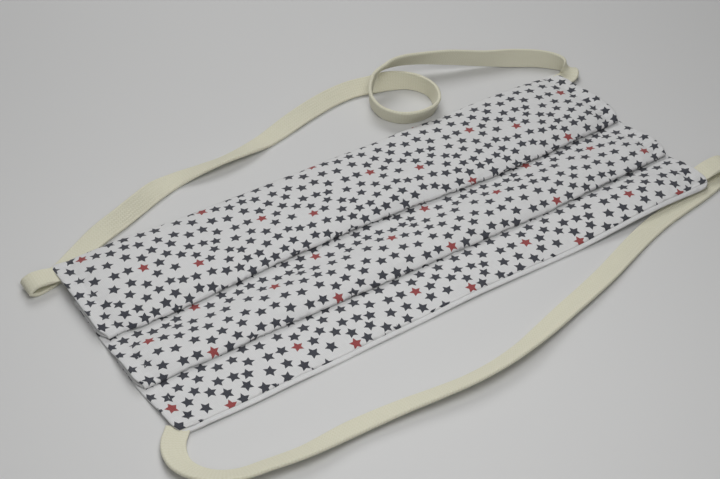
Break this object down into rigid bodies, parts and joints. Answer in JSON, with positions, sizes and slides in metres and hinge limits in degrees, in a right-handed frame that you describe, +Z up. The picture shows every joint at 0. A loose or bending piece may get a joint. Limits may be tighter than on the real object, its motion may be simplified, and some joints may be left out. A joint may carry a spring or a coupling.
{
  "type": "cloth face mask",
  "caption": "Flat-folded cotton face mask with knife pleats, a star print, a plain white lining and flat elastic head straps, lying face up",
  "frame": {"origin": "on the table, under the middle of the folded cloth", "axes": "+X along the mask towards its right end, +Y towards its top edge, +Z up off the table"},
  "size_m": [0.2113, 0.1345, 0.0117],
  "materials": {
    "printed_cotton": "plain woven white cotton printed with small navy and red stars",
    "white_cotton": "plain woven white cotton",
    "ivory_elastic": "ribbed flat braided ivory elastic"
  },
  "bodies": {
    "root": {"front_panel": "printed_cotton", "lining": "white_cotton", "upper_strap": "ivory_elastic", "lower_strap": "ivory_elastic"}
  },
  "joints": []
}
